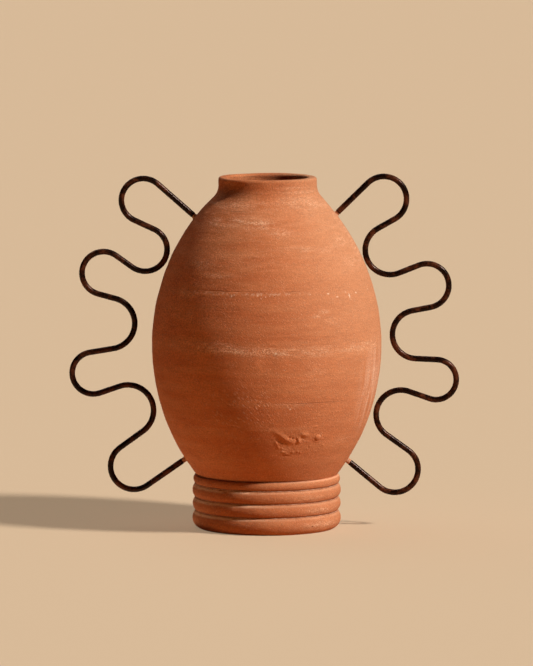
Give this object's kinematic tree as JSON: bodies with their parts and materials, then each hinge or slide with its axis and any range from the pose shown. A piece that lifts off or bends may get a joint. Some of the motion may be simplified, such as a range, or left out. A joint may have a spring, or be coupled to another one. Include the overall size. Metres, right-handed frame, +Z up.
{
  "type": "hydria jar",
  "caption": "Egg-shaped earthenware jar on a coiled ring foot, with a short open neck and wavy wire handles at its sides, for holding water or stems or for display.",
  "frame": {"origin": "on the table, under the jar's axis", "axes": "+Z up along the jar's axis and out of its mouth, +X from the left handle to the right handle as seen from the front, +Y away from the viewer"},
  "size_m": [0.4254, 0.25, 0.3869],
  "materials": {
    "terracotta": "matte",
    "slip": "matte",
    "bedding": "matte",
    "wire": "satin"
  },
  "bodies": {
    "root": {"foot_coil_1": "terracotta", "foot_coil_2": "terracotta", "foot_coil_3": "terracotta", "foot_coil_4": "terracotta", "lower_body": "terracotta", "upper_body": "terracotta", "neck": "terracotta", "upper_left_socket": "terracotta", "lower_left_socket": "terracotta", "upper_right_socket": "terracotta", "lower_right_socket": "terracotta", "foot_slip_1": "slip", "foot_slip_2": "slip", "foot_seat_slip": "slip", "body_seam_slip": "slip", "neck_seam_slip": "slip", "upper_left_bedding": "bedding", "lower_left_bedding": "bedding", "upper_right_bedding": "bedding", "lower_right_bedding": "bedding", "left_handle": "wire", "right_handle": "wire"}
  },
  "joints": []
}
